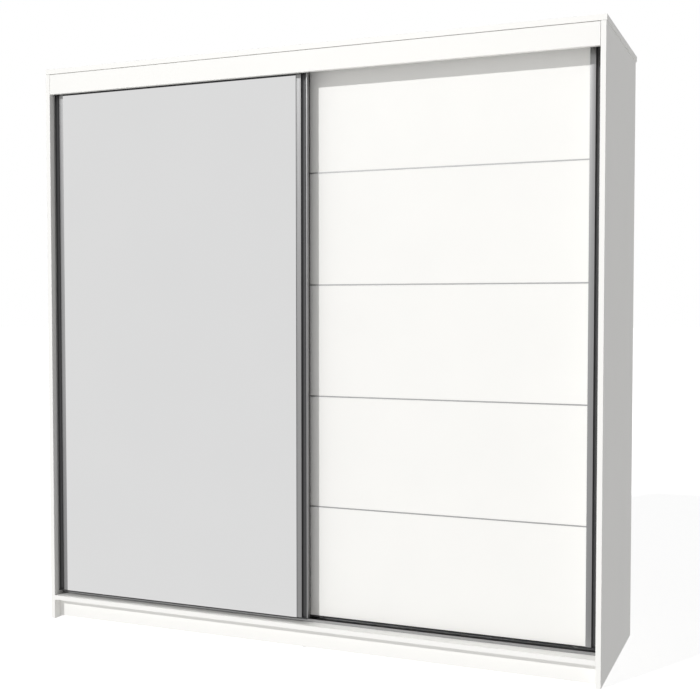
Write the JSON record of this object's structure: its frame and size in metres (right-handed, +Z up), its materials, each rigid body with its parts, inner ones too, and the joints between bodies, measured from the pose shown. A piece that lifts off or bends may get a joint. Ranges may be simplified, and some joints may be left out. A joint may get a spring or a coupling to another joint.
{
  "type": "sliding door wardrobe",
  "caption": "Wide sliding-door wardrobe: white board carcass, full-height mirror door in the front track and a panelled white door behind, aluminium handle profiles.",
  "frame": {"origin": "middle of the base, on the floor", "axes": "+X to the right seen from the front, the front faces -Y, +Z up"},
  "size_m": [2.004, 0.61, 2],
  "materials": {
    "white_board": "white melamine-faced chipboard, satin",
    "back_sheet": "thin white-faced fibreboard, matt",
    "aluminium": "satin anodised, fine lengthwise brushing",
    "mirror_glass": "clear silvered glass",
    "chrome": "bright plated steel",
    "zinc_steel": "zinc-plated pressed steel",
    "grey_plastic": "moulded, fine texture",
    "black_plastic": "moulded, fine texture",
    "nylon": "smooth off-white nylon"
  },
  "bodies": {
    "carcass": {"top_panel": "white_board", "left_side_panel": "white_board", "right_side_panel": "white_board", "bottom_panel": "white_board", "top_fascia": "white_board", "front_plinth": "white_board", "rear_plinth": "white_board", "centre_partition": "white_board", "back_panel_left": "back_sheet", "back_panel_right": "back_sheet", "back_joining_strip": "grey_plastic", "left_hat_shelf": "white_board", "right_shelf_1": "white_board", "right_shelf_2": "white_board", "right_shelf_3": "white_board", "right_shelf_4": "white_board", "hanging_rail": "chrome", "rail_socket_left": "chrome", "rail_socket_right": "chrome", "centre_front_foot": "grey_plastic", "centre_rear_foot": "grey_plastic", "bottom_track": "aluminium", "top_track": "aluminium"},
    "mirror_door": {"mirror_pane": "mirror_glass", "mirror_backing_board": "white_board", "mirror_door_left_profile": "aluminium", "mirror_door_right_profile": "aluminium", "mirror_door_bottom_rail": "black_plastic", "mirror_door_top_rail": "black_plastic", "mirror_door_left_carriage": "black_plastic", "mirror_door_right_carriage": "black_plastic", "mirror_door_left_guide": "zinc_steel", "mirror_door_right_guide": "zinc_steel"},
    "panel_door": {"door_panel_1": "white_board", "door_panel_2": "white_board", "door_panel_3": "white_board", "door_panel_4": "white_board", "door_panel_5": "white_board", "divider_strip_1": "aluminium", "divider_strip_2": "aluminium", "divider_strip_3": "aluminium", "divider_strip_4": "aluminium", "panel_door_left_profile": "aluminium", "panel_door_right_profile": "aluminium", "panel_door_bottom_rail": "black_plastic", "panel_door_top_rail": "black_plastic", "panel_door_left_carriage": "black_plastic", "panel_door_right_carriage": "black_plastic", "panel_door_left_guide": "zinc_steel", "panel_door_right_guide": "zinc_steel"},
    "mirror_door_left_roller": {"mirror_door_left_roller": "nylon"},
    "mirror_door_right_roller": {"mirror_door_right_roller": "nylon"},
    "mirror_door_left_guide_roller": {"mirror_door_left_guide_roller": "nylon"},
    "mirror_door_right_guide_roller": {"mirror_door_right_guide_roller": "nylon"},
    "panel_door_left_roller": {"panel_door_left_roller": "nylon"},
    "panel_door_right_roller": {"panel_door_right_roller": "nylon"},
    "panel_door_left_guide_roller": {"panel_door_left_guide_roller": "nylon"},
    "panel_door_right_guide_roller": {"panel_door_right_guide_roller": "nylon"}
  },
  "joints": [
    {"name": "mirror_door_slide", "type": "slide", "parent": "carcass", "child": "mirror_door", "axis": [1, 0, 0], "range_m": [0, 0.955]},
    {"name": "panel_door_slide", "type": "slide", "parent": "carcass", "child": "panel_door", "axis": [1, 0, 0], "range_m": [-0.955, 0]},
    {"name": "mirror_door_left_roller_spin", "type": "hinge", "parent": "mirror_door", "child": "mirror_door_left_roller", "pos_m": [-0.9075, -0.252, 0.1045], "axis": [0, 1, 0], "continuous": true},
    {"name": "mirror_door_right_roller_spin", "type": "hinge", "parent": "mirror_door", "child": "mirror_door_right_roller", "pos_m": [-0.0475, -0.252, 0.1045], "axis": [0, 1, 0], "continuous": true},
    {"name": "mirror_door_left_guide_spin", "type": "hinge", "parent": "mirror_door", "child": "mirror_door_left_guide_roller", "pos_m": [-0.9125, -0.2655, 1.9603], "axis": [0, 0, 1], "continuous": true},
    {"name": "mirror_door_right_guide_spin", "type": "hinge", "parent": "mirror_door", "child": "mirror_door_right_guide_roller", "pos_m": [-0.0425, -0.2655, 1.9603], "axis": [0, 0, 1], "continuous": true},
    {"name": "panel_door_left_roller_spin", "type": "hinge", "parent": "panel_door", "child": "panel_door_left_roller", "pos_m": [0.0475, -0.212, 0.1045], "axis": [0, 1, 0], "continuous": true},
    {"name": "panel_door_right_roller_spin", "type": "hinge", "parent": "panel_door", "child": "panel_door_right_roller", "pos_m": [0.9075, -0.212, 0.1045], "axis": [0, 1, 0], "continuous": true},
    {"name": "panel_door_left_guide_spin", "type": "hinge", "parent": "panel_door", "child": "panel_door_left_guide_roller", "pos_m": [0.0425, -0.2255, 1.9603], "axis": [0, 0, 1], "continuous": true},
    {"name": "panel_door_right_guide_spin", "type": "hinge", "parent": "panel_door", "child": "panel_door_right_guide_roller", "pos_m": [0.9125, -0.2255, 1.9603], "axis": [0, 0, 1], "continuous": true}
  ],
  "couplings": [
    {"joint": "mirror_door_left_roller_spin", "follows": "mirror_door_slide", "rad_per_m": 83.333},
    {"joint": "mirror_door_right_roller_spin", "follows": "mirror_door_slide", "rad_per_m": 83.333},
    {"joint": "mirror_door_left_guide_spin", "follows": "mirror_door_slide", "rad_per_m": -81.967},
    {"joint": "mirror_door_right_guide_spin", "follows": "mirror_door_slide", "rad_per_m": -81.967},
    {"joint": "panel_door_left_roller_spin", "follows": "panel_door_slide", "rad_per_m": 83.333},
    {"joint": "panel_door_right_roller_spin", "follows": "panel_door_slide", "rad_per_m": 83.333},
    {"joint": "panel_door_left_guide_spin", "follows": "panel_door_slide", "rad_per_m": -81.967},
    {"joint": "panel_door_right_guide_spin", "follows": "panel_door_slide", "rad_per_m": -81.967}
  ]
}
